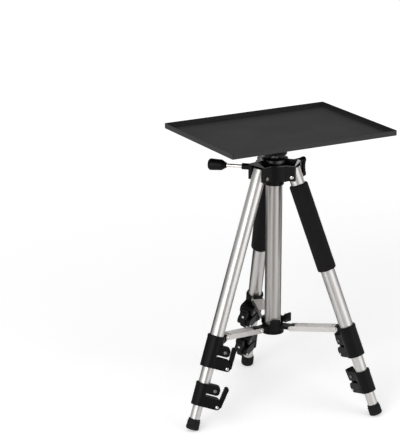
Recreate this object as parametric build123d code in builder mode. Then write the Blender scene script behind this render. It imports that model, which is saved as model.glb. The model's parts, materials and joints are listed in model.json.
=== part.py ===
from build123d import *
import math
import os

# Portable stand: a shallow tray on a cranked column, over three folding, telescoping legs.
# Millimetres, +Z up, origin on the floor under the column axis.

os.makedirs("parts", exist_ok=True)

# Clearances
seat_gap = 0.1          # radial room between pieces that are fixed to each other
slide_gap = 0.35        # radial room where one piece slides or turns on another
side_gap = 0.4          # room beside a lug that turns between two cheeks
nip = 6.0               # slit between a clamp's two lugs
jaw_slit = 2.5          # slit down a clamp's jaw

# Legs, evenly spaced about the column
leg_names = ["left", "right", "back"]
gripped_legs = ["right", "back"]
first_leg_turn = -167.0  # direction of the left leg, degrees from +X
leg_lean = 20.0          # degrees from vertical when the legs are spread
pivot_radius = 43.5      # column axis to leg pivot
pivot_pin_radius = 3.0
tube_head = 14.0         # upper tube above its pivot
upper_tube_radius = 14.5
middle_tube_radius = 12.25
lower_tube_radius = 10.5
tube_wall = 1.2
middle_tube_top = 22.0   # below the pivot, when pushed in
lower_tube_top = 32.0

# Foam grips
grip_top = 20.5          # below the pivot
grip_length = 188.0
grip_radius = 19.5

# Flip-lock clamps, placed along the leg from its pivot
upper_clamp_top = 333.5
upper_clamp_length = 66.0
upper_clamp_radius = 18.0
middle_tube_shows = 34.0  # bare tube between the two clamps
lower_clamp_length = 47.0
lower_clamp_radius = 16.0
clamp_turn = 42.0        # how far the lugs are turned from straight inwards, degrees
jaw_length = 22.5        # lower, tightening part of a clamp
lug_height = 19.0
lug_reach = 35.0         # leg axis to the lug's end
lug_half_width = 15.0
lug_rounding = 7.0
jaw_slit_turn = 78.0     # slit down the jaw, turned from the lugs, degrees
clevis_beyond_pin = 4.5  # lower lug past the lever's pin
clevis_rounding = 10.0
lever_pin_radius = 2.2
lever_pin_out = 37.0     # leg axis to the lever's pin
lever_pin_above_end = 6.0
lever_hub_radius = 7.5
lever_hub_half_width = 5.0
lever_half_width = 8.5
lever_neck = 18.0        # arm above the pin that is as narrow as the hub
lever_length = 44.0
lever_thickness = 9.5
lever_rounding = 4.0
lever_stand_off = 2.0    # arm to the end of the upper lug
lower_lever_lean = 8.0   # the lower levers stand slightly open, degrees

# Rubber feet
lower_tube_shows = 29.0
foot_length = 22.6
foot_radius = 13.5
foot_socket = 16.4
sole_cut = 1.5           # depth of the flat where the tilted foot meets the floor

# Crown
yoke_reach = 50.0        # column axis to the yoke's outer end
yoke_half_width = 24.0
core_radius = 39.0       # round middle of the crown, between the yokes
pocket_back = 24.0       # column axis to the back wall of a leg's pocket
crown_below_pivot = 8.4
crown_above_pivot = 21.6
skirt_length = 15.0
skirt_radius = 20.0
cap_thickness = 10.0
cap_inset = 1.0
cap_rim = 2.0            # upright edge below the sloping top
cap_ridge_half_width = 2.0
cone_height = 4.0
cone_bottom_radius = 28.0
cone_top_radius = 19.5
cone_rim = 1.0

# Column and its centre tube
center_tube_radius = 17.0
center_tube_wall = 1.5
column_radius = 11.0
column_wall = 1.5
column_length = 350.0
column_shows = 5.0       # bare column between the cone and the head

# Crank, between the right and back legs
crank_below_pivot = 16.5
crank_boss_radius = 9.0
crank_boss_reach = 77.0
crank_shaft_radius = 4.0
crank_shaft_depth = 36.0  # length of the shaft inside its boss
crank_arm_gap = 2.0
crank_arm_thickness = 7.0
crank_arm_half_width = 6.5
crank_throw = 29.0
crank_knob_radius = 5.5
crank_knob_length = 26.0
crank_knob_rounding = 1.5

# Column lock, between the left and back legs
lock_above_pivot = 9.5
lock_swing = 5.0         # towards the left leg, degrees
lock_boss_radius = 6.5
lock_boss_reach = 67.0
lock_rod_radius = 3.5
lock_rod_depth = 34.0    # length of the rod inside its boss
grip_neck_reach = 99.0
grip_shoulder_reach = 109.0
grip_end_reach = 138.0
grip_neck_radius = 5.0
grip_shoulder_radius = 11.0
grip_end_radius = 12.5
grip_end_rounding = 7.0
grip_rod_seat = 16.0     # rod inside the grip

# Head and tray
head_flange_radius = 26.0
head_flange_thickness = 6.0
head_neck_radius = 16.0
head_height = 25.0
head_seat = 14.0         # column inside the head
socket_radius = 19.0
tray_plate_radius = 40.0
tray_plate_thickness = 5.0
socket_height = 15.4
turn_gap = 0.4           # between the head and the socket that turns on it
tray_length = 381.0
tray_width = 279.0
tray_depth = 10.5
tray_wall = 2.0
tray_floor = 2.0
tray_corner = 3.0
tray_offset_x = 8.0      # the tray sits a little off the column
tray_offset_y = -7.0

# Braces: a hub on the centre tube and three channel struts
hub_pivot_drop = 329.4   # leg pivot down to the struts' hub pivots
hub_pivot_radius = 41.5
hub_radius = 22.0
hub_below_pivot = 14.0
hub_above_pivot = 6.0
tongue_above_pivot = 17.0
tongue_radius = 23.5
hub_flange_radius = 23.5
hub_flange_thickness = 4.0
hub_lug_radius = 3.5
brace_drop = 333.0       # leg pivot to the strut's pivot, along the leg
brace_inset = 22.0       # leg axis to the strut's pivot
brace_lug_radius = 4.5
brace_pin_radius = 2.0
strut_half_width = 12.0
strut_wall = 1.5
strut_above_pin = 5.0
strut_below_pin = 5.5
strut_end = 5.0          # strut beyond its pivots
web_start = 9.0          # leg pivot to the strut's top web
web_cut_back = 34.0      # hub pivot to the other end of the web

# Hub knob
knob_boss_radius = 6.0
knob_boss_reach = 30.0
knob_stem_radius = 3.0
knob_stem_depth = 9.0
knob_hub_radius = 7.0
knob_hub_length = 10.0
knob_gap = 0.6
wing_span = 19.0
wing_length = 16.0
wing_half_thickness = 2.5
wing_rounding = 2.2
knob_above_hub_pivot = 6.0

# Places worked out from the sizes above
leg_step = 360.0 / len(leg_names)
lean = math.radians(leg_lean)
upper_clamp_end = upper_clamp_top + upper_clamp_length
lower_clamp_top = upper_clamp_end + middle_tube_shows
lower_clamp_end = lower_clamp_top + lower_clamp_length
foot_top = lower_clamp_end + lower_tube_shows
foot_end = foot_top + foot_length
upper_shoulder = upper_clamp_end - jaw_length - nip
lower_shoulder = lower_clamp_end - jaw_length - nip
pivot_height = foot_end * math.cos(lean) + foot_radius * math.sin(lean) - sole_cut
crown_bottom = pivot_height - crown_below_pivot
crown_top = pivot_height + crown_above_pivot
skirt_bottom = crown_bottom - skirt_length
cap_top = crown_top + cap_thickness
cap_reach = yoke_reach - cap_inset
cap_half_width = yoke_half_width - cap_inset
cone_top = cap_top + cone_height
head_bottom = cone_top + column_shows
head_top = head_bottom + head_height
socket_bottom = head_top + turn_gap
plate_bottom = socket_bottom + socket_height
tray_bottom = plate_bottom + tray_plate_thickness
tray_inside_length = tray_length - 2 * tray_wall
tray_inside_width = tray_width - 2 * tray_wall
hub_pivot_height = pivot_height - hub_pivot_drop
hub_bottom = hub_pivot_height - hub_below_pivot
hub_inside = center_tube_radius + slide_gap
strut_inside = strut_half_width - strut_wall
strut_height = strut_above_pin + strut_below_pin
lug_inside_strut = strut_inside - side_gap
pocket_half_width = upper_tube_radius + side_gap
crank_height = pivot_height - crank_below_pivot
lock_height = pivot_height + lock_above_pivot
lever_arm_out = lug_reach + lever_stand_off - lever_pin_out
clevis_gap = lever_hub_half_width + side_gap
far = 1000.0             # longer than any cut


def leg_turn(name):
    return first_leg_turn + leg_step * leg_names.index(name)


crank_turn = leg_turn("right") + leg_step / 2
lock_turn = leg_turn("back") + leg_step / 2 + lock_swing


def outward(turn):
    return Vector(math.cos(math.radians(turn)), math.sin(math.radians(turn)), 0)


def sideways(turn):
    return Vector(-math.sin(math.radians(turn)), math.cos(math.radians(turn)), 0)


def upright_plane(turn):
    # Sketch x runs outwards from the column, sketch y runs up.
    return Plane(origin=(0, 0, 0), x_dir=outward(turn), z_dir=sideways(turn) * -1)


def spoke_plane(turn, reach, height):
    # Faces outwards at the given reach, for round pieces that lie along a spoke.
    start = outward(turn) * reach + Vector(0, 0, height)
    return Plane(origin=start, x_dir=sideways(turn), z_dir=outward(turn))


def leg_line(turn):
    return outward(turn) * math.sin(lean) - Vector(0, 0, math.cos(lean))


def leg_out(turn):
    return outward(turn) * math.cos(lean) + Vector(0, 0, math.sin(lean))


def pivot_point(turn):
    return outward(turn) * pivot_radius + Vector(0, 0, pivot_height)


def leg_plane(turn, along):
    # Square to the leg, at a distance along it from the pivot.
    start = pivot_point(turn) + leg_line(turn) * along
    return Plane(origin=start, x_dir=leg_out(turn), z_dir=leg_line(turn))


def leg_side(turn):
    # Sketch x runs out from the leg axis, sketch y runs down the leg.
    return Plane(origin=pivot_point(turn), x_dir=leg_out(turn), z_dir=sideways(turn))


def clamp_side(turn):
    # As leg_side, with sketch x running along the clamp's lugs.
    swing = math.radians(clamp_turn)
    lug_line = sideways(turn) * math.sin(swing) - leg_out(turn) * math.cos(swing)
    return Plane(origin=pivot_point(turn), x_dir=lug_line, z_dir=lug_line.cross(leg_line(turn)))


def lever_side(turn, end, open_by):
    # As clamp_side, from the lever's pin and turned with the lever.
    side = clamp_side(turn)
    pin = side.from_local_coords((lever_pin_out, end - lever_pin_above_end, 0))
    swing = math.radians(open_by)
    turned_out = side.x_dir * math.cos(swing) + side.y_dir * math.sin(swing)
    return Plane(origin=pin, x_dir=turned_out, z_dir=side.z_dir)


def save(builder, name):
    builder.part.label = name
    export_step(builder.part, "parts/" + name + ".step")


def leg_tube(name, turn, top, end, radius, pin_hole):
    with BuildPart() as tube:
        with BuildSketch(leg_plane(turn, top)):
            Circle(radius)
            Circle(radius - tube_wall, mode=Mode.SUBTRACT)
        extrude(amount=end - top)
        if pin_hole:
            with BuildSketch(leg_side(turn)):
                Circle(pivot_pin_radius + seat_gap)
            extrude(amount=far, both=True, mode=Mode.SUBTRACT)
    save(tube, name)


def clamp(name, turn, top, end, outer_radius, tube_radius, inner_radius, braced):
    jaw_top = end - jaw_length
    shoulder = jaw_top - nip
    with BuildPart() as body:
        with BuildSketch(leg_plane(turn, top)):
            Circle(outer_radius)
        extrude(amount=end - top)
        # Upper lug
        with BuildSketch(clamp_side(turn)):
            with Locations((lug_reach / 2, shoulder - lug_height / 2)):
                Rectangle(lug_reach, lug_height)
            fillet(vertices().group_by(Axis.X)[-1], radius=lug_rounding)
        extrude(amount=lug_half_width, both=True)
        # Lower lug, a clevis that carries the lever's pin
        with BuildSketch(clamp_side(turn)):
            with Locations((0, jaw_top)):
                Rectangle(lever_pin_out + clevis_beyond_pin, jaw_length, align=(Align.MIN, Align.MIN))
            fillet(vertices().group_by(Axis.X)[-1], radius=clevis_rounding)
        extrude(amount=lug_half_width, both=True)
        with BuildSketch(clamp_side(turn)):
            with Locations((lever_pin_out - lever_hub_radius - side_gap, jaw_top)):
                Rectangle(far, far, align=(Align.MIN, Align.MIN))
        extrude(amount=clevis_gap, both=True, mode=Mode.SUBTRACT)
        with BuildSketch(clamp_side(turn)):
            with Locations((lever_pin_out, end - lever_pin_above_end)):
                Circle(lever_pin_radius)
        extrude(amount=lug_half_width, both=True)
        if braced:
            with BuildSketch(leg_side(turn)):
                with Locations((-brace_inset, brace_drop)):
                    Circle(brace_lug_radius)
                with Locations((-tube_radius, top + brace_lug_radius * 2)):
                    Circle(brace_lug_radius)
                make_hull()
            extrude(amount=lug_inside_strut, both=True)
            with BuildSketch(leg_side(turn)):
                with Locations((-brace_inset, brace_drop)):
                    Circle(brace_pin_radius)
            extrude(amount=strut_half_width, both=True)
        # Slit, open from the lug's end to the tube
        with BuildSketch(clamp_side(turn)):
            with Locations((outer_radius / 2, shoulder)):
                Rectangle(far, nip, align=(Align.MIN, Align.MIN))
        extrude(amount=far, both=True, mode=Mode.SUBTRACT)
        # Slit down the jaw, which lets it close
        with BuildSketch(leg_plane(turn, jaw_top)):
            with Locations(Rotation(0, 0, 180 + clamp_turn - jaw_slit_turn)):
                Rectangle(far, jaw_slit, align=(Align.MIN, Align.CENTER))
        extrude(amount=far, mode=Mode.SUBTRACT)
        # Stepped bore: the outer tube ends at the shoulder, the inner one runs through
        with BuildSketch(leg_plane(turn, shoulder)):
            Circle(tube_radius + seat_gap)
        extrude(amount=-far, mode=Mode.SUBTRACT)
        with BuildSketch(leg_plane(turn, shoulder)):
            Circle(inner_radius + slide_gap)
        extrude(amount=far, mode=Mode.SUBTRACT)
    save(body, name)


def lever(name, turn, end, open_by):
    side = lever_side(turn, end, open_by)
    with BuildPart() as arm:
        with BuildSketch(side):
            with Locations((lever_arm_out, -lever_length)):
                Rectangle(lever_thickness, lever_length - lever_neck, align=(Align.MIN, Align.MIN))
            fillet(vertices().group_by(Axis.Y)[0], radius=lever_rounding)
        extrude(amount=lever_half_width, both=True)
        # Neck and hub, inside the clamp's clevis
        with BuildSketch(side):
            with Locations((lever_arm_out, -lever_neck)):
                Rectangle(lever_thickness, lever_neck, align=(Align.MIN, Align.MIN))
            Circle(lever_hub_radius)
        extrude(amount=lever_hub_half_width, both=True)
        with BuildSketch(side):
            Circle(lever_pin_radius + slide_gap / 2)
        extrude(amount=far, both=True, mode=Mode.SUBTRACT)
    save(arm, name)


def foot(name, turn):
    with BuildPart() as rubber:
        with BuildSketch(leg_plane(turn, foot_top)):
            Circle(foot_radius)
        extrude(amount=foot_length)
        with BuildSketch(leg_plane(turn, foot_top)):
            Circle(lower_tube_radius + seat_gap)
        extrude(amount=foot_socket, mode=Mode.SUBTRACT)
        split(bisect_by=Plane.XY, keep=Keep.TOP)
    save(rubber, name)


def grip(name, turn):
    with BuildPart() as foam:
        with BuildSketch(leg_plane(turn, grip_top)):
            Circle(grip_radius)
            Circle(upper_tube_radius + seat_gap, mode=Mode.SUBTRACT)
        extrude(amount=grip_length)
    save(foam, name)


def strut(name, turn):
    joint = pivot_point(turn) + leg_line(turn) * brace_drop - leg_out(turn) * brace_inset
    hub_joint = outward(turn) * hub_pivot_radius + Vector(0, 0, hub_pivot_height)
    length = (hub_joint - joint).length
    # Sketch x runs from the leg to the hub, sketch y runs up.
    side = Plane(origin=joint, x_dir=hub_joint - joint, z_dir=sideways(turn))
    with BuildPart() as channel:
        with BuildSketch(side):
            with Locations((-strut_end, -strut_below_pin)):
                Rectangle(length + 2 * strut_end, strut_height, align=(Align.MIN, Align.MIN))
            fillet(vertices(), radius=strut_end)
        extrude(amount=strut_half_width, both=True)
        with BuildSketch(side):
            with Locations((-far / 2, strut_above_pin - strut_wall)):
                Rectangle(far, far, align=(Align.MIN, Align.MAX))
            with Locations((web_start, 0)):
                Rectangle(far, far, align=(Align.MAX, Align.CENTER))
            with Locations((length - web_cut_back, 0)):
                Rectangle(far, far, align=(Align.MIN, Align.CENTER))
        extrude(amount=strut_inside, both=True, mode=Mode.SUBTRACT)
        with BuildSketch(side):
            Circle(brace_pin_radius + slide_gap / 2)
        extrude(amount=far, both=True, mode=Mode.SUBTRACT)
    save(channel, name)


# Legs, from the crown down to the floor
for leg in leg_names:
    at = leg_turn(leg)
    with BuildPart() as pivot_pin:
        with BuildSketch(leg_side(at)):
            Circle(pivot_pin_radius)
        extrude(amount=yoke_half_width, both=True)
    save(pivot_pin, "pivot_pin_" + leg)
    leg_tube("upper_tube_" + leg, at, -tube_head, upper_shoulder, upper_tube_radius, True)
    leg_tube("middle_tube_" + leg, at, middle_tube_top, lower_shoulder, middle_tube_radius, False)
    leg_tube("lower_tube_" + leg, at, lower_tube_top, foot_top + foot_socket, lower_tube_radius, False)
    clamp("upper_clamp_" + leg, at, upper_clamp_top, upper_clamp_end, upper_clamp_radius,
          upper_tube_radius, middle_tube_radius, True)
    clamp("lower_clamp_" + leg, at, lower_clamp_top, lower_clamp_end, lower_clamp_radius,
          middle_tube_radius, lower_tube_radius, False)
    lever("upper_lever_" + leg, at, upper_clamp_end, 0)
    lever("lower_lever_" + leg, at, lower_clamp_end, lower_lever_lean)
    foot("foot_" + leg, at)
    strut("strut_" + leg, at)
    if leg in gripped_legs:
        grip("grip_" + leg, at)

# Crown: a core with three yokes, a skirt around the centre tube, and bosses for the crank and the lock
with BuildPart() as crown_body:
    with BuildSketch(Plane.XY.offset(crown_bottom)):
        for leg in leg_names:
            with Locations(Rotation(0, 0, leg_turn(leg))):
                Rectangle(yoke_reach, 2 * yoke_half_width, align=(Align.MIN, Align.CENTER))
        Circle(core_radius)
    extrude(amount=crown_top - crown_bottom)
    with BuildSketch(Plane.XY.offset(skirt_bottom)):
        Circle(skirt_radius)
    extrude(amount=crown_bottom - skirt_bottom)
    with BuildSketch(spoke_plane(crank_turn, center_tube_radius, crank_height)):
        Circle(crank_boss_radius)
    extrude(amount=crank_boss_reach - center_tube_radius)
    with BuildSketch(spoke_plane(lock_turn, center_tube_radius, lock_height)):
        Circle(lock_boss_radius)
    extrude(amount=lock_boss_reach - center_tube_radius)
    # Pockets and pin holes for the legs
    for leg in leg_names:
        with BuildSketch(Plane.XY.offset(skirt_bottom)):
            with Locations(Rotation(0, 0, leg_turn(leg)) * Location((pocket_back, 0, 0))):
                Rectangle(far, 2 * pocket_half_width, align=(Align.MIN, Align.CENTER))
        extrude(amount=far, mode=Mode.SUBTRACT)
        with BuildSketch(leg_side(leg_turn(leg))):
            Circle(pivot_pin_radius + seat_gap)
        extrude(amount=far, both=True, mode=Mode.SUBTRACT)
    # Bores
    with BuildSketch(Plane.XY.offset(skirt_bottom)):
        Circle(center_tube_radius + seat_gap)
    extrude(amount=far, mode=Mode.SUBTRACT)
    with BuildSketch(spoke_plane(crank_turn, crank_boss_reach, crank_height)):
        Circle(crank_shaft_radius + slide_gap)
    extrude(amount=-crank_shaft_depth - slide_gap, mode=Mode.SUBTRACT)
    with BuildSketch(spoke_plane(lock_turn, lock_boss_reach, lock_height)):
        Circle(lock_rod_radius + slide_gap)
    extrude(amount=-lock_rod_depth - slide_gap, mode=Mode.SUBTRACT)
save(crown_body, "crown_body")

# Cap over the yokes: a low gable along each arm and a round seat for the cone
with BuildPart() as crown_cap:
    for leg in leg_names:
        with BuildSketch(spoke_plane(leg_turn(leg), 0, crown_top)):
            with BuildLine():
                Polyline(
                    (-cap_half_width, 0),
                    (cap_half_width, 0),
                    (cap_half_width, cap_rim),
                    (cap_ridge_half_width, cap_thickness),
                    (-cap_ridge_half_width, cap_thickness),
                    (-cap_half_width, cap_rim),
                    close=True,
                )
            make_face()
        extrude(amount=cap_reach)
    with BuildSketch(Plane.XY.offset(crown_top)):
        Circle(core_radius - cap_inset)
    extrude(amount=cap_rim)
    with BuildSketch(Plane.XY.offset(crown_top)):
        Circle(cone_bottom_radius)
    extrude(amount=cap_thickness)
    with BuildSketch(Plane.XY.offset(crown_top)):
        Circle(column_radius + slide_gap)
    extrude(amount=far, mode=Mode.SUBTRACT)
save(crown_cap, "crown_cap")

# Low cone that guides the column
with BuildPart() as column_collar:
    with BuildSketch(Plane.XZ):
        with BuildLine():
            Polyline(
                (column_radius + slide_gap, cap_top),
                (cone_bottom_radius, cap_top),
                (cone_bottom_radius, cap_top + cone_rim),
                (cone_top_radius, cone_top),
                (column_radius + slide_gap, cone_top),
                close=True,
            )
        make_face()
    revolve(axis=Axis.Z)
save(column_collar, "column_collar")

# Centre tube, fixed in the crown, with the brace hub on its lower end
with BuildPart() as center_tube:
    with BuildSketch(Plane.XY.offset(hub_bottom)):
        Circle(center_tube_radius)
        Circle(center_tube_radius - center_tube_wall, mode=Mode.SUBTRACT)
    extrude(amount=crown_top - hub_bottom)
save(center_tube, "center_tube")

with BuildPart() as center_column:
    with BuildSketch(Plane.XY.offset(head_bottom + head_seat)):
        Circle(column_radius)
        Circle(column_radius - column_wall, mode=Mode.SUBTRACT)
    extrude(amount=-column_length)
save(center_column, "center_column")

# Crank: shaft and arm in one piece, with the knob folded inwards at the arm's end
crank_arm_inside = crank_boss_reach + crank_arm_gap
with BuildPart() as crank_arm:
    with BuildSketch(spoke_plane(crank_turn, crank_arm_inside, crank_height)):
        with Locations((0, crank_throw / 2)):
            SlotCenterToCenter(crank_throw, 2 * crank_arm_half_width, rotation=90)
    extrude(amount=crank_arm_thickness)
    with BuildSketch(spoke_plane(crank_turn, crank_arm_inside, crank_height)):
        Circle(crank_shaft_radius)
    extrude(amount=-crank_arm_gap - crank_shaft_depth)
save(crank_arm, "crank_arm")

with BuildPart() as crank_knob:
    with BuildSketch(spoke_plane(crank_turn, crank_arm_inside, crank_height + crank_throw)):
        Circle(crank_knob_radius)
    extrude(amount=-crank_knob_length)
    fillet(edges(), radius=crank_knob_rounding)
save(crank_knob, "crank_knob")

# Column lock: a rod through its boss, with a tapered grip
with BuildPart() as lock_rod:
    with BuildSketch(spoke_plane(lock_turn, lock_boss_reach - lock_rod_depth, lock_height)):
        Circle(lock_rod_radius)
    extrude(amount=lock_rod_depth + grip_neck_reach + grip_rod_seat - lock_boss_reach)
save(lock_rod, "lock_rod")

with BuildPart() as lock_grip:
    with BuildSketch(upright_plane(lock_turn)):
        with BuildLine():
            Polyline(
                (grip_neck_reach, lock_height),
                (grip_neck_reach, lock_height + grip_neck_radius),
                (grip_shoulder_reach, lock_height + grip_shoulder_radius),
                (grip_end_reach, lock_height + grip_end_radius),
                (grip_end_reach, lock_height),
                close=True,
            )
        make_face()
        fillet(vertices().sort_by(Axis.X)[-2:].sort_by(Axis.Y)[-1], radius=grip_end_rounding)
    revolve(axis=Axis(origin=(0, 0, lock_height), direction=outward(lock_turn)))
    with BuildSketch(spoke_plane(lock_turn, grip_neck_reach, lock_height)):
        Circle(lock_rod_radius + seat_gap)
    extrude(amount=grip_rod_seat, mode=Mode.SUBTRACT)
save(lock_grip, "lock_grip")

# Head on the column, and the socket and plate under the tray that turn on it
with BuildPart() as head_base:
    with BuildSketch(Plane.XY.offset(head_bottom)):
        Circle(head_flange_radius)
    extrude(amount=head_flange_thickness)
    with BuildSketch(Plane.XY.offset(head_bottom)):
        Circle(head_neck_radius)
    extrude(amount=head_height)
    with BuildSketch(Plane.XY.offset(head_bottom)):
        Circle(column_radius + seat_gap)
    extrude(amount=head_seat, mode=Mode.SUBTRACT)
save(head_base, "head_base")

with BuildPart() as tray_plate:
    with BuildSketch(Plane.XY.offset(socket_bottom)):
        Circle(socket_radius)
    extrude(amount=socket_height)
    with BuildSketch(Plane.XY.offset(plate_bottom)):
        Circle(tray_plate_radius)
    extrude(amount=tray_plate_thickness)
save(tray_plate, "tray_plate")

with BuildPart() as tray:
    with BuildSketch(Plane.XY.offset(tray_bottom)):
        with Locations((tray_offset_x, tray_offset_y)):
            RectangleRounded(tray_length, tray_width, tray_corner)
    extrude(amount=tray_depth)
    with BuildSketch(Plane.XY.offset(tray_bottom + tray_floor)):
        with Locations((tray_offset_x, tray_offset_y)):
            RectangleRounded(tray_inside_length, tray_inside_width, tray_corner - tray_wall)
    extrude(amount=tray_depth, mode=Mode.SUBTRACT)
save(tray, "tray")

# Brace hub: a sleeve with a lug inside each strut and tongues between them
knob_height = hub_pivot_height + knob_above_hub_pivot
with BuildPart() as brace_hub:
    with BuildSketch(Plane.XY.offset(hub_pivot_height + hub_above_pivot)):
        Circle(tongue_radius)
    extrude(amount=tongue_above_pivot - hub_above_pivot)
    for leg in leg_names:
        with BuildSketch(Plane.XY.offset(hub_pivot_height + hub_above_pivot)):
            with Locations(Rotation(0, 0, leg_turn(leg))):
                Rectangle(far, 2 * (strut_half_width + side_gap), align=(Align.MIN, Align.CENTER))
        extrude(amount=far, mode=Mode.SUBTRACT)
    with BuildSketch(Plane.XY.offset(hub_bottom)):
        Circle(hub_radius)
    extrude(amount=hub_below_pivot + hub_above_pivot)
    with BuildSketch(Plane.XY.offset(hub_bottom)):
        Circle(hub_flange_radius)
    extrude(amount=hub_flange_thickness)
    for leg in leg_names:
        with BuildSketch(upright_plane(leg_turn(leg))):
            with Locations((hub_pivot_radius, hub_pivot_height)):
                Circle(hub_lug_radius)
                Rectangle(hub_pivot_radius, 2 * hub_lug_radius, align=(Align.MAX, Align.CENTER))
        extrude(amount=lug_inside_strut, both=True)
    with BuildSketch(spoke_plane(crank_turn, center_tube_radius, knob_height)):
        Circle(knob_boss_radius)
    extrude(amount=knob_boss_reach - center_tube_radius)
    with BuildSketch(Plane.XY.offset(hub_bottom)):
        Circle(hub_inside)
    extrude(amount=far, mode=Mode.SUBTRACT)
    with BuildSketch(spoke_plane(crank_turn, knob_boss_reach, knob_height)):
        Circle(knob_stem_radius + slide_gap)
    extrude(amount=-knob_stem_depth - slide_gap, mode=Mode.SUBTRACT)
save(brace_hub, "brace_hub")

# Wing knob that locks the hub on the centre tube
knob_start = knob_boss_reach + knob_gap
with BuildPart() as hub_knob:
    with BuildSketch(spoke_plane(crank_turn, knob_boss_reach - knob_stem_depth, knob_height)):
        Circle(knob_stem_radius)
    extrude(amount=knob_stem_depth + knob_gap + knob_hub_length)
    with BuildSketch(spoke_plane(crank_turn, knob_start, knob_height)):
        Circle(knob_hub_radius)
    extrude(amount=knob_hub_length)
    with BuildSketch(spoke_plane(crank_turn, knob_start + knob_hub_length / 2, knob_height)):
        RectangleRounded(2 * wing_half_thickness, wing_span, wing_rounding)
    extrude(amount=wing_length)
save(hub_knob, "hub_knob")
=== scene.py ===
import json
import math

import bmesh
import bpy
from mathutils import Matrix, Vector, noise

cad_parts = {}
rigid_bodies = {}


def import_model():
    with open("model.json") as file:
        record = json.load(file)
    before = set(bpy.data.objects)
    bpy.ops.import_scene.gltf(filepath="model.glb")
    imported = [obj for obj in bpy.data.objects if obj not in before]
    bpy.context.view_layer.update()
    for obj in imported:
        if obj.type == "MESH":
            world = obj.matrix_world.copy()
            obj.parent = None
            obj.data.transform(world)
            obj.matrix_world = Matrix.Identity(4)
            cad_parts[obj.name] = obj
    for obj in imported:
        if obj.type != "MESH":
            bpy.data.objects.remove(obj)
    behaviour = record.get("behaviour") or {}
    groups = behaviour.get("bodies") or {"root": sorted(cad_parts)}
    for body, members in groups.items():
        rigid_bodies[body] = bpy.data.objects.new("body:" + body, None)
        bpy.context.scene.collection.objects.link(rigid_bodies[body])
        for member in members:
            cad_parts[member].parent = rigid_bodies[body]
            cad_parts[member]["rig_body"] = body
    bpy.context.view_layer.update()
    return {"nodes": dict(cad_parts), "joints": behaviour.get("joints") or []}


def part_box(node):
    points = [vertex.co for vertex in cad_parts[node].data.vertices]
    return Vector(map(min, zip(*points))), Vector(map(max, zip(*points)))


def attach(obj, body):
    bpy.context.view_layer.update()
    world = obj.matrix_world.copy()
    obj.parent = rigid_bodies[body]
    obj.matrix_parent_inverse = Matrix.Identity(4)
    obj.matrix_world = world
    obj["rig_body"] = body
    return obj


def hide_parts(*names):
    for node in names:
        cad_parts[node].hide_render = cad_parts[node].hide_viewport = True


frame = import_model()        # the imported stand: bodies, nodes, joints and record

nodes = frame["nodes"]
joints = {joint["name"]: joint for joint in frame["joints"]}
legs = ["left", "right", "back"]
grippedLegs = ["right", "back"]
mm = 0.001
up = Vector((0, 0, 1))
atOrigin = Matrix.Identity(4)
white = (1, 1, 1, 1)
black = (0, 0, 0, 1)
print("stand loaded:", len(nodes), "nodes")


# Places, all read from the frame

def middle(node):
    low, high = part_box(node)
    return (low + high) / 2


def placeFrom(origin, xAxis, zAxis):
    yAxis = zAxis.cross(xAxis)
    turn = Matrix((xAxis, yAxis, zAxis)).transposed()
    return Matrix.Translation(origin) @ turn.to_4x4()


def legPlace(leg):
    # z runs down the leg from its pivot, x points outwards
    pivot = middle("pivot_pin_" + leg)
    down = (middle("lower_tube_" + leg) - pivot).normalized()
    sideways = up.cross(Vector((pivot.x, pivot.y, 0))).normalized()
    return placeFrom(pivot, sideways.cross(down) * -1, down)


def hingePlace(jointName, zAxis):
    # x runs along the hinge, z as near to zAxis as that leaves it
    joint = joints[jointName]
    xAxis = Vector(joint["axis"]).normalized()
    square = (zAxis - xAxis * zAxis.dot(xAxis)).normalized()
    return placeFrom(Vector(joint["pos_m"]), xAxis, square)


def pointsIn(node, place):
    # a node's vertices, measured along the axes of a place
    back = place.inverted()
    return [back @ vertex.co for vertex in nodes[node].data.vertices]


def spanIn(node, place):
    # lowest and highest corner of a node along the axes of a place
    points = pointsIn(node, place)
    low = Vector([min(point[i] for point in points) for i in range(3)])
    high = Vector([max(point[i] for point in points) for i in range(3)])
    return low, high


def bodyOf(node):
    return nodes[node]["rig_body"]


# Materials

colourA, colourB, mixedColour = 6, 7, 2     # sockets of a Mix node that blends colours


def linear(hexColour):
    parts = [int(hexColour[i:i + 2], 16) / 255 for i in (1, 3, 5)]
    spread = [p / 12.92 if p <= 0.04045 else ((p + 0.055) / 1.055) ** 2.4 for p in parts]
    return (*spread, 1.0)


def addNode(tree, kind, settings=None, links=None):
    node = tree.nodes.new(kind)
    for key, value in (settings or {}).items():
        if isinstance(key, int) or key in node.inputs:
            node.inputs[key].default_value = value
        else:
            setattr(node, key, value)
    for socket, source in (links or {}).items():
        tree.links.new(source, node.inputs[socket])
    return node


def startMaterial(name, settings):
    material = bpy.data.materials.new(name)
    material.use_nodes = True
    tree = material.node_tree
    shader = tree.nodes["Principled BSDF"]
    for key, value in settings.items():
        shader.inputs[key].default_value = value
    return material, tree, shader


def feedShader(tree, shader, sources):
    for socket, source in sources.items():
        tree.links.new(source, shader.inputs[socket])


def patternScale(size):
    return 1 / (size * mm)     # texture scale for a pattern of that size in millimetres


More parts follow.
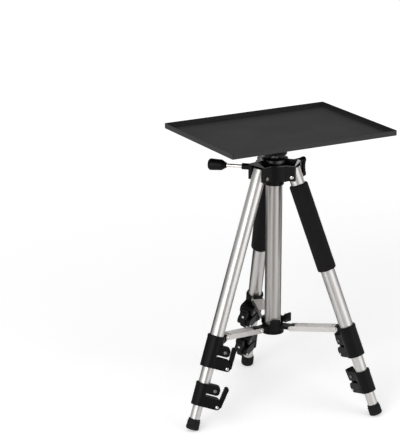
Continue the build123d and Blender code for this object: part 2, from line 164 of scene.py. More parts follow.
def makePowderCoat():
    # powder-coated steel, baked on: even charcoal with a pebbled skin, and paler edges that are partly rubbed wear
    # and partly a painted highlight along the rim
    look = {"colour": "#222223", "wornAndHighlitColour": "#4c4c4d", "shine": 0.25, "smooth": 0.44, "rough": 0.58, "cloud": 70,
            "pebble": 1.6, "bump": 0.25, "bumpDepth": 0.15,
            "edge": 0.8, "wearAndHighlightFrom": 0.995, "wearAndHighlightFull": 0.9, "wearAndHighlightShare": 0.6}
    material, tree, shader = startMaterial("powder_coated_steel_baked", {"Specular IOR Level": look["shine"]})
    where = addNode(tree, "ShaderNodeTexCoord")
    pebble = addNode(tree, "ShaderNodeTexNoise", {"Scale": patternScale(look["pebble"]), "Detail": 2.0},
                     {"Vector": where.outputs["Object"]})
    cloud = addNode(tree, "ShaderNodeTexNoise", {"Scale": patternScale(look["cloud"]), "Detail": 3.0},
                    {"Vector": where.outputs["Object"]})
    softNormal = addNode(tree, "ShaderNodeBevel", {"samples": 4, "Radius": look["edge"] * mm})
    trueNormal = addNode(tree, "ShaderNodeNewGeometry")
    facing = addNode(tree, "ShaderNodeVectorMath", {"operation": "DOT_PRODUCT"},
                     {0: softNormal.outputs["Normal"], 1: trueNormal.outputs["Normal"]})
    # paler where the Bevel normal bends away at edges: partly wear, partly a painted highlight that marks the
    # tray's rim
    edge = addNode(tree, "ShaderNodeMapRange",
                   {"From Min": look["wearAndHighlightFrom"], "From Max": look["wearAndHighlightFull"], "To Max": look["wearAndHighlightShare"]},
                   {"Value": facing.outputs["Value"]})
    tone = addNode(tree, "ShaderNodeMix",
                   {"data_type": "RGBA", colourA: linear(look["colour"]), colourB: linear(look["wornAndHighlitColour"])},
                   {0: edge.outputs["Result"]})
    rough = addNode(tree, "ShaderNodeMapRange", {"To Min": look["smooth"], "To Max": look["rough"]},
                    {"Value": cloud.outputs["Fac"]})
    bump = addNode(tree, "ShaderNodeBump", {"Strength": look["bump"], "Distance": look["bumpDepth"] * mm},
                   {"Height": pebble.outputs["Fac"]})
    feedShader(tree, shader, {"Base Color": tone.outputs[mixedColour], "Roughness": rough.outputs["Result"],
                              "Normal": bump.outputs["Normal"]})
    return material


def makeDrawnAluminium(name, place, look):
    # drawn and anodised tube: satin silver with faint lines along its length, which stretch the reflections
    skin = {"bump": 0.12, "bumpDepth": 0.05}
    material, tree, shader = startMaterial(name, {"Metallic": 1.0})
    back = place.inverted()
    line, run = patternScale(look["line"]), patternScale(look["run"])
    where = addNode(tree, "ShaderNodeTexCoord")
    along = addNode(tree, "ShaderNodeMapping",
                    {"Location": back.translation, "Rotation": back.to_euler()},
                    {"Vector": where.outputs["Object"]})
    stretch = addNode(tree, "ShaderNodeMapping", {"Scale": (line, line, run)},
                      {"Vector": along.outputs["Vector"]})
    lines = addNode(tree, "ShaderNodeTexNoise", {"Scale": 1.0, "Detail": 3.0, "Roughness": 0.6},
                    {"Vector": stretch.outputs["Vector"]})
    tone = addNode(tree, "ShaderNodeMix",
                   {"data_type": "RGBA", colourA: linear(look["dark"]), colourB: linear(look["light"])},
                   {0: lines.outputs["Fac"]})
    rough = addNode(tree, "ShaderNodeMapRange", {"To Min": look["smooth"], "To Max": look["rough"]},
                    {"Value": lines.outputs["Fac"]})
    bump = addNode(tree, "ShaderNodeBump", {"Strength": skin["bump"], "Distance": skin["bumpDepth"] * mm},
                   {"Height": lines.outputs["Fac"]})
    feedShader(tree, shader, {"Base Color": tone.outputs[mixedColour], "Roughness": rough.outputs["Result"],
                              "Normal": bump.outputs["Normal"]})
    return material


def makeMouldedBlack(name, look):
    # black moulded piece: a fine spark-eroded grain, a little paler and duller in soft patches
    material, tree, shader = startMaterial(name, {"IOR": look["ior"], "Specular IOR Level": look["shine"]})
    where = addNode(tree, "ShaderNodeTexCoord")
    grain = addNode(tree, "ShaderNodeTexNoise", {"Scale": patternScale(look["grain"]), "Detail": 2.0},
                    {"Vector": where.outputs["Object"]})
    cloud = addNode(tree, "ShaderNodeTexNoise", {"Scale": patternScale(look["cloud"]), "Detail": 2.0},
                    {"Vector": where.outputs["Object"]})
    tone = addNode(tree, "ShaderNodeMix",
                   {"data_type": "RGBA", colourA: linear(look["dark"]), colourB: linear(look["light"])},
                   {0: cloud.outputs["Fac"]})
    rough = addNode(tree, "ShaderNodeMapRange", {"To Min": look["smooth"], "To Max": look["rough"]},
                    {"Value": cloud.outputs["Fac"]})
    bump = addNode(tree, "ShaderNodeBump", {"Strength": look["bump"], "Distance": look["bumpDepth"] * mm},
                   {"Height": grain.outputs["Fac"]})
    feedShader(tree, shader, {"Base Color": tone.outputs[mixedColour], "Roughness": rough.outputs["Result"],
                              "Normal": bump.outputs["Normal"]})
    return material


def makeFoam():
    # closed-cell rubber foam, cut to length: dull black, with burst cells over the skin
    look = {"dark": "#0f0e0e", "light": "#1a1819", "mottle": 14, "rough": 0.88, "sheen": 0.04, "shine": 0.12,
            "bump": 0.5, "bumpDepth": 0.3,
            "cell": 1.5}     # real cells are near 0.5 mm, too fine to show
    material, tree, shader = startMaterial("nitrile_foam_closed_cell",
                                           {"Roughness": look["rough"], "Sheen Weight": look["sheen"],
                                            "Specular IOR Level": look["shine"]})
    where = addNode(tree, "ShaderNodeTexCoord")
    cells = addNode(tree, "ShaderNodeTexVoronoi", {"Scale": patternScale(look["cell"])},
                    {"Vector": where.outputs["Object"]})
    mottle = addNode(tree, "ShaderNodeTexNoise", {"Scale": patternScale(look["mottle"]), "Detail": 4.0},
                     {"Vector": where.outputs["Object"]})
    tone = addNode(tree, "ShaderNodeMix",
                   {"data_type": "RGBA", colourA: linear(look["dark"]), colourB: linear(look["light"])},
                   {0: mottle.outputs["Fac"]})
    bump = addNode(tree, "ShaderNodeBump", {"Strength": look["bump"], "Distance": look["bumpDepth"] * mm},
                   {"Height": cells.outputs["Distance"]})
    feedShader(tree, shader, {"Base Color": tone.outputs[mixedColour], "Normal": bump.outputs["Normal"]})
    return material


def makeBrightSteel(name, look):
    # turned steel with a plated or rubbed skin: clear highlights, with fine turning marks in the gloss
    material, tree, shader = startMaterial(name, {"Metallic": 1.0, "Base Color": linear(look["colour"])})
    where = addNode(tree, "ShaderNodeTexCoord")
    marks = addNode(tree, "ShaderNodeTexNoise", {"Scale": patternScale(look["mark"]), "Detail": 2.0},
                    {"Vector": where.outputs["Object"]})
    rough = addNode(tree, "ShaderNodeMapRange", {"To Min": look["smooth"], "To Max": look["rough"]},
                    {"Value": marks.outputs["Fac"]})
    feedShader(tree, shader, {"Roughness": rough.outputs["Result"]})
    return material


tubeLook = {"line": 0.9, "run": 90, "dark": "#b8b6b4", "light": "#cbc9c7", "smooth": 0.33, "rough": 0.43}
columnLook = {"line": 0.9, "run": 120, "dark": "#9b9895", "light": "#b1aeab", "smooth": 0.34, "rough": 0.44}
strutLook = {"line": 1.6, "run": 60, "dark": "#bfbcb9", "light": "#cdcac7", "smooth": 0.3, "rough": 0.42}
nylonLook = {"ior": 1.53, "shine": 0.1, "grain": 0.9, "cloud": 18, "dark": "#060606", "light": "#0d0d0e",
             "smooth": 0.36, "rough": 0.5, "bump": 0.18, "bumpDepth": 0.1}
absLook = {"ior": 1.54, "shine": 0.5, "grain": 1.2, "cloud": 30, "dark": "#060606", "light": "#0b0b0c",
           "smooth": 0.16, "rough": 0.24, "bump": 0.05, "bumpDepth": 0.1}
rubberLook = {"ior": 1.5, "shine": 0.15, "grain": 1.4, "cloud": 9, "dark": "#121213", "light": "#1d1d1e",
              "smooth": 0.62, "rough": 0.78, "bump": 0.3, "bumpDepth": 0.1}
zincLook = {"colour": "#c9c8c5", "mark": 0.8, "smooth": 0.16, "rough": 0.34}
burnishedLook = {"colour": "#75736f", "mark": 0.8, "smooth": 0.34, "rough": 0.5}
chromeLook = {"colour": "#d4d0ce", "mark": 6, "smooth": 0.3, "rough": 0.42}

legTube = {leg: makeDrawnAluminium("anodised_aluminium_drawn_" + leg, legPlace(leg), tubeLook)
           for leg in legs}
columnTube = makeDrawnAluminium("anodised_aluminium_drawn_upright", atOrigin, columnLook)
powderCoat = makePowderCoat()
nylon = makeMouldedBlack("glass_filled_nylon_moulded", nylonLook)
glossAbs = makeMouldedBlack("abs_gloss_moulded", absLook)
rubber = makeMouldedBlack("rubber_moulded", rubberLook)
foam = makeFoam()
zinc = makeBrightSteel("zinc_plated_steel_turned", zincLook)
burnished = makeBrightSteel("steel_burnished_turned", burnishedLook)
chrome = makeBrightSteel("chromed_steel_polished", chromeLook)
print("materials made:", len(bpy.data.materials))


# Tools for the pieces: lengths in millimetres, angles in degrees

meshFinish = {"weld": 0.01, "flatWithin": 1, "sharpFrom": 38, "roundFrom": 40, "roundSegments": 2}
headShape = {"sunk": 0.3, "steps": 24, "domeSteps": 6, "nutSides": 6}


def weld(bm):
    bmesh.ops.remove_doubles(bm, verts=bm.verts[:], dist=meshFinish["weld"] * mm)


def roundEdges(bm, radius, fromAngle, segments, clamp=True):
    # rounds each edge that folds by more than an angle
    sharp = [edge for edge in bm.edges if edge.calc_face_angle(0) > math.radians(fromAngle)]
    bmesh.ops.bevel(bm, geom=sharp, offset=radius * mm, affect="EDGES", segments=segments, profile=0.5,
                    material=-1, clamp_overlap=clamp)


def keepPiece(name, bm, place, body, material, standsFor=(), fresh=True):
    # a fresh shape is welded and turned outwards, a copy of a node already is
    bmesh.ops.transform(bm, matrix=place, verts=bm.verts[:], space=atOrigin)
    if fresh:
        weld(bm)
        bmesh.ops.recalc_face_normals(bm, faces=bm.faces[:])
    for face in bm.faces:
        face.smooth = True
    mesh = bpy.data.meshes.new(name)
    bm.to_mesh(mesh)
    bm.free()
    mesh.set_sharp_from_angle(angle=math.radians(meshFinish["sharpFrom"]))
    mesh.materials.append(material)
    piece = bpy.data.objects.new(name, mesh)
    bpy.context.scene.collection.objects.link(piece)
    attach(piece, body)
    if standsFor:
        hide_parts(*standsFor)
    return piece


def softCopy(node, edgeRound, material):
    # a moulded or pressed piece: the node's own shape with its sharp edges rounded
    bm = bmesh.new()
    bm.from_mesh(nodes[node].data)
    weld(bm)
    bmesh.ops.dissolve_limit(bm, angle_limit=math.radians(meshFinish["flatWithin"]), verts=bm.verts[:],
                             edges=bm.edges[:])
    roundEdges(bm, edgeRound, meshFinish["roundFrom"], meshFinish["roundSegments"])
    piece = keepPiece(node + "_finished", bm, atOrigin, bodyOf(node), material,
                      standsFor=[node], fresh=False)
    even = piece.modifiers.new("evenShading", "WEIGHTED_NORMAL")
    even.keep_sharp = True


def turned(outline, steps):
    # spins an outline of (radius, height) points about z
    bm = bmesh.new()
    points = [bm.verts.new((radius * mm, 0, height * mm)) for radius, height in outline]
    for first, second in zip(points, points[1:]):
        bm.edges.new((first, second))
    bmesh.ops.spin(bm, geom=bm.verts[:] + bm.edges[:], cent=(0, 0, 0), axis=(0, 0, 1), angle=2 * math.pi,
                   steps=steps, use_merge=True)
    weld(bm)
    return bm


def paint(node, material):
    nodes[node].data.materials.clear()
    nodes[node].data.materials.append(material)


def headPlace(point, axis):
    # z points out of the surface that a head sits on
    return placeFrom(point, axis.orthogonal().normalized(), axis)


def turnedHead(profile, radius, height, steps):
    # the profile is in shares of radius and height, and its edge is sunk a little into the surface
    outline = [(radius * across, height * rise) for across, rise in profile]
    return turned(outline + [(radius, -headShape["sunk"]), (0, -headShape["sunk"])], steps)


def panHead(radius, height):
    # a pan head with a round-edged crown and a driver recess
    profile = [(0, 0.4), (0.3, 0.45), (0.36, 1), (0.72, 0.94), (0.94, 0.62), (1, 0.25)]
    return turnedHead(profile, radius, height, headShape["steps"])


def rivetHead(radius, height):
    # a low dome
    steps = headShape["domeSteps"]
    bends = [i / steps * math.pi / 2 for i in range(steps + 1)]
    return turnedHead([(math.sin(bend), math.cos(bend)) for bend in bends], radius, height, headShape["steps"])


def hexNut(across, height):
    # a nut with chamfered corners and a domed cap
    profile = [(0, 1.5), (0.45, 1.4), (0.72, 1.05), (0.8, 1), (1, 0.8)]
    return turnedHead(profile, across / math.sqrt(3), height, headShape["nutSides"])


# Tray
trayPieces = {"bend": 0.6, "plateEdge": 0.8, "baseEdge": 0.8, "plateThickness": 5,
              "screws": 4, "screwsFrom": 45, "screwCircle": 31, "screwRadius": 3.4, "screwHeight": 1.8}
softCopy("tray", trayPieces["bend"], powderCoat)
softCopy("tray_plate", trayPieces["plateEdge"], nylon)
softCopy("head_base", trayPieces["baseEdge"], nylon)
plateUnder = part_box("tray")[0].z - trayPieces["plateThickness"] * mm
screwCircle = trayPieces["screwCircle"] * mm
for i in range(trayPieces["screws"]):
    turn = math.radians(trayPieces["screwsFrom"]) + 2 * math.pi * i / trayPieces["screws"]
    point = Vector((screwCircle * math.cos(turn), screwCircle * math.sin(turn), plateUnder))
    keepPiece("tray_screw_%d" % (i + 1), panHead(trayPieces["screwRadius"], trayPieces["screwHeight"]),
              headPlace(point, -up), "tray", zinc)
print("tray done")

# Column and crown: edge radius, material and slot of each moulded piece
crownPieces = {
    "crown_body": (1.2, nylon, "crown_plastic"),
    "crown_cap": (0.8, glossAbs, "cap_plastic"),
    "column_collar": (0.5, glossAbs, "cap_plastic"),
    "brace_hub": (0.7, nylon, "crown_plastic"),
    "hub_knob": (0.8, nylon, "crown_plastic"),
    "crank_knob": (0.4, nylon, "crown_plastic"),
    "lock_grip": (1.2, nylon, "crown_plastic"),
}
paint("center_tube", columnTube)
paint("center_column", columnTube)
for node, (edgeRound, material, slotName) in crownPieces.items():
    softCopy(node, edgeRound, material)
paint("lock_rod", chrome)

# crank: a waisted arm on a steel shaft
crank = {"waist": 3.8, "thickness": 7, "edge": 1.2, "edgeFrom": 60, "edgeSegments": 3, "steps": 12,
         "shaftRadius": 4, "shaftSunk": 1, "shaftSteps": 32, "screwRadius": 3.2, "screwHeight": 1.6}
crankPlace = hingePlace("crank_turn", up)
crankAxis = crankPlace.to_3x3().col[0]
crankLow, crankHigh = spanIn("crank_arm", crankPlace)
shaftStart, crankFace, endRadius = crankLow.x, crankHigh.x, crankHigh.y / mm
crankThrow = (crankPlace.inverted() @ middle("crank_knob")).z / mm
flank = []
for i in range(1, crank["steps"]):
    bend = math.pi / 2 * i / crank["steps"]
    flank.append((endRadius * math.sin(bend), -endRadius * math.cos(bend)))
for i in range(crank["steps"] + 1):
    share = i / crank["steps"]
    flank.append((crank["waist"] + (endRadius - crank["waist"]) * (2 * share - 1) ** 2, share * crankThrow))
flank += [(across, crankThrow - height) for across, height in reversed(flank[:crank["steps"] - 1])]
ring = [(0, -endRadius)] + flank + [(0, crankThrow + endRadius)]
ring += [(-across, height) for across, height in reversed(flank)]
bm = bmesh.new()
inside = crankFace - crank["thickness"] * mm
plate = bm.faces.new([bm.verts.new((inside, across * mm, height * mm)) for across, height in ring])
raised = bmesh.ops.extrude_face_region(bm, geom=[plate])
lifted = [part for part in raised["geom"] if isinstance(part, bmesh.types.BMVert)]
bmesh.ops.translate(bm, verts=lifted, vec=(crank["thickness"] * mm, 0, 0))
bmesh.ops.recalc_face_normals(bm, faces=bm.faces[:])
roundEdges(bm, crank["edge"], crank["edgeFrom"], crank["edgeSegments"], clamp=False)
keepPiece("crank_arm_finished", bm, crankPlace, "crank", nylon, ["crank_arm"])
shaftLength = (inside - shaftStart) / mm + crank["shaftSunk"]
shaft = [(0, 0), (crank["shaftRadius"], 0), (crank["shaftRadius"], shaftLength), (0, shaftLength)]
keepPiece("crank_shaft", turned(shaft, crank["shaftSteps"]),
          headPlace(crankPlace @ Vector((shaftStart, 0, 0)), crankAxis), "crank", zinc)
keepPiece("crank_screw", panHead(crank["screwRadius"], crank["screwHeight"]),
          headPlace(crankPlace @ Vector((crankFace, 0, 0)), crankAxis), "crank", zinc)
print("crown done")

# Legs
legShape = {"strutEdge": 0.4, "clampEdge": 0.7, "leverEdge": 0.9, "boreGap": 0.1, "steps": 64}
pivotHeads = {"screwRadius": 4.2, "screwHeight": 2.2, "nutAcross": 8, "nutHeight": 2.6}
rivets = {"radius": 3.6, "height": 1.3, "fromEnd": 5, "tipZone": 10, "pinRadius": 3.3, "pinHeight": 1.3}
lugScrews = {"radius": 3.6, "height": 1.8, "behindPin": 12, "abovePin": 31, "clearOfBody": -8}
leverScrews = {"radius": 2.8, "height": 0.9, "abovePin": 24}
leverRidges = {"count": 3, "step": 2.4, "fromTip": 4, "width": 0.76, "height": 0.7, "thick": 1.1,
               "roundShare": 0.45, "roundFrom": 25, "roundSegments": 2}
clampBead = {"fromTop": 2, "width": 3.5, "proud": 0.6, "sunk": 0.4, "slope": 0.5, "wallShare": 0.8}
footShape = {"collar": 1.2, "collarLength": 5, "chamfer": 0.6, "step": 0.8, "sole": 3, "soleSteps": 5,
             "grooves": 2, "groove": 0.9, "grooveWidth": 1.6,
             "slopeTo": 1.3, "bottomTo": 2, "pitch": 3,     # in groove widths
             "cutWithin": 0.001}
gripShape = {"end": 4, "endSteps": 5, "rings": 40, "unevenness": 0.3, "lump": 26, "skinFrom": 1}


def strutEnds(leg):
    # the hinge of a strut on its leg, and both of its rivet points
    place = hingePlace("brace_fold_" + leg, up)
    start, pinAxis = place.translation, place.to_3x3().col[0]
    points = [vertex.co for vertex in nodes["strut_" + leg].data.vertices]
    reach = max((point - start).length for point in points)
    tip = [point for point in points if (point - start).length > reach - rivets["tipZone"] * mm]
    towards = sum(tip, Vector()) / len(tip) - start
    towards -= pinAxis * towards.dot(pinAxis)
    along = towards.normalized()
    length = max((point - start).dot(along) for point in points) - rivets["fromEnd"] * mm
    return place, start, start + along * length


def leverPlace(level, leg):
    # x runs along the lever's pin, y away from the leg and z down the closed lever's arm
    name = level + "_lever_open_" + leg
    place = hingePlace(name, legPlace(leg).to_3x3().col[2])
    return place @ Matrix.Rotation(math.radians(-joints[name]["range_deg"][0]), 4, "X")


for leg in legs:
    legAt = legPlace(leg)
    for section in ["upper", "middle", "lower"]:
        paint(section + "_tube_" + leg, legTube[leg])
    paint("pivot_pin_" + leg, zinc)
    pinAxis = legAt.to_3x3().col[1]
    pinEnd = spanIn("pivot_pin_" + leg, legAt)[1].y
    keepPiece("pivot_screw_" + leg, panHead(pivotHeads["screwRadius"], pivotHeads["screwHeight"]),
              headPlace(legAt @ Vector((0, pinEnd, 0)), pinAxis), "crown", zinc)
    keepPiece("pivot_nut_" + leg, hexNut(pivotHeads["nutAcross"], pivotHeads["nutHeight"]),
              headPlace(legAt @ Vector((0, -pinEnd, 0)), -pinAxis), "crown", burnished)

    # strut: a pressed channel with a rivet through each end
    pressed = makeDrawnAluminium("aluminium_pressed_" + leg, legAt, strutLook)
    softCopy("strut_" + leg, legShape["strutEdge"], pressed)
    hinge, legEnd, hubEnd = strutEnds(leg)
    strutSide = spanIn("strut_" + leg, hinge)[1].x
    for end, point in [("leg", legEnd), ("hub", hubEnd)]:
        for side, sideName in [(1, "near"), (-1, "far")]:
            axis = hinge.to_3x3().col[0] * side
            keepPiece("strut_rivet_%s_%s_%s" % (end, leg, sideName), rivetHead(rivets["radius"], rivets["height"]),
                      headPlace(point + axis * strutSide, axis), "brace_" + leg, zinc)

    # flip-lock clamps: pins, screws, a bead around the top and ridges at the lever's tip
    for level, body in [("upper", "leg_" + leg), ("lower", "middle_section_" + leg)]:
        clampNode, leverNode = level + "_clamp_" + leg, level + "_lever_" + leg
        softCopy(clampNode, legShape["clampEdge"], nylon)
        softCopy(leverNode, legShape["leverEdge"], nylon)
        lever = leverPlace(level, leg)
        leverLow, leverHigh = spanIn(leverNode, lever)
        closed = hingePlace(level + "_lever_open_" + leg, legAt.to_3x3().col[2])
        lugSide = max(point.x for point in pointsIn(clampNode, closed)
                      if point.y > lugScrews["clearOfBody"] * mm and point.z < -lugScrews["abovePin"] * mm / 2)
        for side, sideName in [(1, "near"), (-1, "far")]:
            axis = closed.to_3x3().col[0] * side
            pinPoint = Vector((lugSide * side, 0, 0))
            keepPiece("%s_lever_pin_%s_%s" % (level, leg, sideName),
                      rivetHead(rivets["pinRadius"], rivets["pinHeight"]),
                      headPlace(closed @ pinPoint, axis), body, zinc)
            lugPoint = Vector((lugSide * side, -lugScrews["behindPin"] * mm, -lugScrews["abovePin"] * mm))
            keepPiece("%s_lug_screw_%s_%s" % (level, leg, sideName),
                      panHead(lugScrews["radius"], lugScrews["height"]),
                      headPlace(closed @ lugPoint, axis), body, burnished)
        ridges = bmesh.new()
        for i in range(leverRidges["count"]):
            bar = bmesh.ops.create_cube(ridges, size=1)["verts"]
            bmesh.ops.scale(ridges, verts=bar, vec=(leverHigh.x * 2 * leverRidges["width"],
                                                    leverRidges["height"] * 2 * mm, leverRidges["thick"] * mm))
            height = leverLow.z + (leverRidges["fromTip"] + i * leverRidges["step"]) * mm
            bmesh.ops.translate(ridges, verts=bar, vec=(0, leverHigh.y, height))
        bmesh.ops.recalc_face_normals(ridges, faces=ridges.faces[:])
        roundEdges(ridges, leverRidges["height"] * leverRidges["roundShare"], leverRidges["roundFrom"],
                   leverRidges["roundSegments"])
        keepPiece("%s_lever_ridges_%s" % (level, leg), ridges, lever, leverNode, nylon)
        clampPoints = pointsIn(clampNode, legAt)
        clampRadius = max(point.x for point in clampPoints)
        wallTop = min(point.z for point in clampPoints if point.x > clampRadius * clampBead["wallShare"])
        beadTop = wallTop / mm + clampBead["fromTop"]
        within, proud = clampRadius / mm - clampBead["sunk"], clampRadius / mm + clampBead["proud"]
        bead = [(within, beadTop), (proud, beadTop + clampBead["slope"]),
                (proud, beadTop + clampBead["width"] - clampBead["slope"]),
                (within, beadTop + clampBead["width"]), (within, beadTop)]
        keepPiece("%s_clamp_bead_%s" % (level, leg), turned(bead, legShape["steps"]), legAt, body, nylon)
        face = lever @ Vector((0, leverHigh.y, -leverScrews["abovePin"] * mm))
        keepPiece("%s_lever_screw_%s" % (level, leg), panHead(leverScrews["radius"], leverScrews["height"]),
                  headPlace(face, lever.to_3x3().col[1]), leverNode, zinc)

    # rubber foot: a collar, two grooves and a rounded sole, cut flat where it meets the floor
    footLow, footHigh = spanIn("foot_" + leg, legAt)
    tubeEnd = spanIn("lower_tube_" + leg, legAt)[1]
    radius, top, end = footHigh.x / mm, footLow.z / mm, footHigh.z / mm
    bore, seat = tubeEnd.x / mm + legShape["boreGap"], tubeEnd.z / mm
    neck, deep = radius - footShape["collar"], radius - footShape["groove"]
    outline = [(0, seat), (bore, seat), (bore, top), (neck - footShape["chamfer"], top),
               (neck, top + footShape["chamfer"]), (neck, top + footShape["collarLength"])]
    width = footShape["grooveWidth"]
    for i in range(footShape["grooves"]):
        ring = top + footShape["collarLength"] + footShape["step"] + i * footShape["pitch"] * width
        outline += [(radius, ring), (radius, ring + width), (deep, ring + width * footShape["slopeTo"]),
                    (deep, ring + width * footShape["bottomTo"])]
    outline += [(radius, outline[-1][1] + footShape["step"])]
    sole = footShape["sole"]
    for i in range(footShape["soleSteps"] + 1):
        bend = i / footShape["soleSteps"] * math.pi / 2
        outline += [(radius - sole * (1 - math.cos(bend)), end - sole * (1 - math.sin(bend)))]
    bm = turned(outline + [(0, end)], legShape["steps"])
    bmesh.ops.transform(bm, matrix=legAt, verts=bm.verts[:], space=atOrigin)
    cut = bmesh.ops.bisect_plane(bm, geom=bm.verts[:] + bm.edges[:] + bm.faces[:],
                                 dist=footShape["cutWithin"] * mm, plane_co=(0, 0, 0), plane_no=(0, 0, -1),
                                 clear_outer=True)
    rim = [part for part in cut["geom_cut"] if isinstance(part, bmesh.types.BMEdge)]
    bmesh.ops.edgeloop_fill(bm, edges=rim)
    keepPiece("foot_" + leg + "_finished", bm, atOrigin, bodyOf("foot_" + leg), rubber,
              ["foot_" + leg])

for leg in grippedLegs:
    # foam sleeve: soft round ends and a slightly uneven skin
    legAt = legPlace(leg)
    gripLow, gripHigh = spanIn("grip_" + leg, legAt)
    bore = spanIn("upper_tube_" + leg, legAt)[1].x / mm + legShape["boreGap"]
    radius, top, end = gripHigh.x / mm, gripLow.z / mm, gripHigh.z / mm
    soft, endSteps, rings = gripShape["end"], gripShape["endSteps"], gripShape["rings"]
    bends = [i / endSteps * math.pi / 2 for i in range(endSteps + 1)]
    arc = [(1 - math.cos(bend), 1 - math.sin(bend)) for bend in bends]
    straight = end - top - 2 * soft
    outline = [(bore, top)] + [(radius - soft * b, top + soft * a) for a, b in arc]
    outline += [(radius, top + soft + straight * i / rings) for i in range(1, rings)]
    outline += [(radius - soft * b, end - soft * a) for a, b in reversed(arc)] + [(bore, end), (bore, top)]
    bm = turned(outline, legShape["steps"])
    for vertex in bm.verts:
        if vertex.co.to_2d().length > (bore + gripShape["skinFrom"]) * mm:
            lump = noise.noise(vertex.co / (gripShape["lump"] * mm)) * gripShape["unevenness"] * mm
            vertex.co.xy *= 1 - abs(lump) / vertex.co.to_2d().length
    piece = keepPiece("grip_" + leg + "_foam", bm, legAt, "leg_" + leg, foam, ["grip_" + leg])
print("legs done")

# Stage, lights and camera
camera = {"focal": 2000, "imageLong": 438, "sensor": 36, "clipEnd": 50, "azimuth": -31.20, "elevation": 18.52,
          "distance": 4.133, "aim": (0, 0, 0.3), "pan": 2.21, "pitch": 1.37}
azimuth, elevation = math.radians(camera["azimuth"]), math.radians(camera["elevation"])
backwards = Vector((math.sin(azimuth) * math.cos(elevation), -math.cos(azimuth) * math.cos(elevation),
                    math.sin(elevation)))
right = up.cross(backwards).normalized()
aimed = placeFrom(Vector(camera["aim"]) + backwards * camera["distance"], right, backwards)
turn = Matrix.Rotation(math.radians(camera["pan"]), 3, up)
turn = Matrix.Rotation(math.radians(camera["pitch"]), 3, turn @ right) @ turn
cameraData = bpy.data.cameras.new("camera")
cameraData.sensor_width = camera["sensor"]
cameraData.lens = camera["focal"] * cameraData.sensor_width / camera["imageLong"]
cameraData.clip_end = camera["clipEnd"]
cameraObject = bpy.data.objects.new("camera", cameraData)
cameraObject.matrix_world = Matrix.Translation(aimed.translation) @ (turn @ aimed.to_3x3()).to_4x4()
bpy.context.scene.collection.objects.link(cameraObject)
bpy.context.scene.camera = cameraObject
bpy.context.scene.view_settings.view_transform = "Standard"


def stagePiece(name, bm, material):
    mesh = bpy.data.meshes.new(name)
    bm.to_mesh(mesh)
    bm.free()
    mesh.materials.append(material)
    piece = bpy.data.objects.new(name, mesh)
    bpy.context.scene.collection.objects.link(piece)
    return piece


def fromCamera(degrees):
    # a direction over the floor, turned from the camera's own side of the stand
    turn = azimuth - math.pi / 2 + math.radians(degrees)
    return math.cos(turn), math.sin(turn)


# floor: paper that is white to the eye and in the metal, and still takes the stand's shadow
floorLook = {"size": 30, "colour": "#f4f4f4", "rough": 0.9, "nearLift": 0.37, "farLift": 0.72, "near": 0.5,
             "far": 3.0}
floorPaint, tree, shader = startMaterial("floor_paper", {"Base Color": linear(floorLook["colour"]),
                                                         "Roughness": floorLook["rough"],
                                                         "Specular IOR Level": 0.0, "Emission Color": white})
rays = addNode(tree, "ShaderNodeLightPath")
seen = addNode(tree, "ShaderNodeMath", {"operation": "MAXIMUM"},
               {0: rays.outputs["Is Camera Ray"], 1: rays.outputs["Is Glossy Ray"]})
seenToo = addNode(tree, "ShaderNodeMath", {"operation": "MAXIMUM"},
                  {0: seen.outputs["Value"], 1: rays.outputs["Is Transmission Ray"]})
where = addNode(tree, "ShaderNodeTexCoord")
away = addNode(tree, "ShaderNodeVectorMath", {"operation": "LENGTH"}, {0: where.outputs["Object"]})
paler = addNode(tree, "ShaderNodeMapRange", {"From Min": floorLook["near"], "From Max": floorLook["far"],
                                             "To Min": floorLook["nearLift"], "To Max": floorLook["farLift"]},
                {"Value": away.outputs["Value"]})
lift = addNode(tree, "ShaderNodeMath", {"operation": "MULTIPLY"},
               {0: seenToo.outputs["Value"], 1: paler.outputs["Result"]})
feedShader(tree, shader, {"Emission Strength": lift.outputs["Value"]})
bm = bmesh.new()
bmesh.ops.create_grid(bm, x_segments=1, y_segments=1, size=floorLook["size"] / 2)
stagePiece("floor", bm, floorPaint)
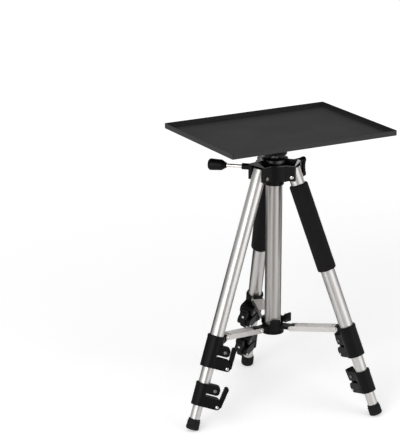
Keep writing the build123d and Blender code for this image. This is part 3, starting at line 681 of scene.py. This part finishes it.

# curved glowing cards that only the metal and the gloss see, painted reflections: a dark one close behind the
# stand, a bright one that rises over it, and a grey one in front
cardShape = {"steps": 12, "offFloor": 2}
cards = {
    "rearCard": {"from": 118, "to": 270, "distance": 0.5, "height": 0.33, "shade": 0.02},
    "frontCard": {"from": -16, "to": 16, "distance": 0.6, "height": 0.9, "shade": 0.24},
    "brightReflectionCard": {"from": 146, "to": 206, "distance": 0.8, "height": 0.56, "shade": 1.9},
}
for name, card in cards.items():
    # each card glows at its shade level and only glossy rays see it: a painted reflection, dark, grey or bright
    cardPaint, tree, shader = startMaterial(name + "_painted_reflection", {"Base Color": black, "Specular IOR Level": 0.0,
                                                             "Emission Color": white,
                                                             "Emission Strength": card["shade"]})
    bm = bmesh.new()
    columns = []
    for i in range(cardShape["steps"] + 1):
        x, y = fromCamera(card["from"] + (card["to"] - card["from"]) * i / cardShape["steps"])
        foot = Vector((x, y, 0)) * card["distance"]
        columns.append([bm.verts.new(foot + up * cardShape["offFloor"] * mm),
                        bm.verts.new(foot + up * card["height"])])
    for first, second in zip(columns, columns[1:]):
        bm.faces.new((first[0], second[0], second[1], first[1]))
    piece = stagePiece(name, bm, cardPaint)
    piece.visible_camera = False
    piece.visible_diffuse = False
    piece.visible_shadow = False
    piece.visible_transmission = False

worldLook = {"fill": 0.42}
world = bpy.data.worlds.new("studio")
bpy.context.scene.world = world
world.use_nodes = True
background = world.node_tree.nodes["Background"]
background.inputs["Color"].default_value = white
background.inputs["Strength"].default_value = worldLook["fill"]

lamps = {
    "leftSoftbox": {"turn": -46, "distance": 1.2, "height": 0.6, "size": (0.8, 1.3), "power": 3.6},
    "rightSoftbox": {"turn": 58, "distance": 1.2, "height": 0.6, "size": (1.0, 1.3), "power": 5.4},
    "keySoftbox": {"turn": -20, "distance": 3.4, "height": 1.7, "size": (1.6, 2.2), "power": 56},
    "topSoftbox": {"turn": 180, "distance": 0.2, "height": 3.0, "size": (2.4, 2.4), "power": 4},
}
for name, lamp in lamps.items():
    lampData = bpy.data.lights.new(name, "AREA")
    lampData.shape = "RECTANGLE"
    lampData.size, lampData.size_y = lamp["size"]
    lampData.energy = lamp["power"]
    lampObject = bpy.data.objects.new(name, lampData)
    lampObject.visible_camera = False
    x, y = fromCamera(lamp["turn"])
    spot = Vector((x * lamp["distance"], y * lamp["distance"], lamp["height"]))
    facing = (spot - Vector(camera["aim"])).to_track_quat("Z", "Y")
    lampObject.matrix_world = Matrix.Translation(spot) @ facing.to_matrix().to_4x4()
    bpy.context.scene.collection.objects.link(lampObject)
print("stage done")
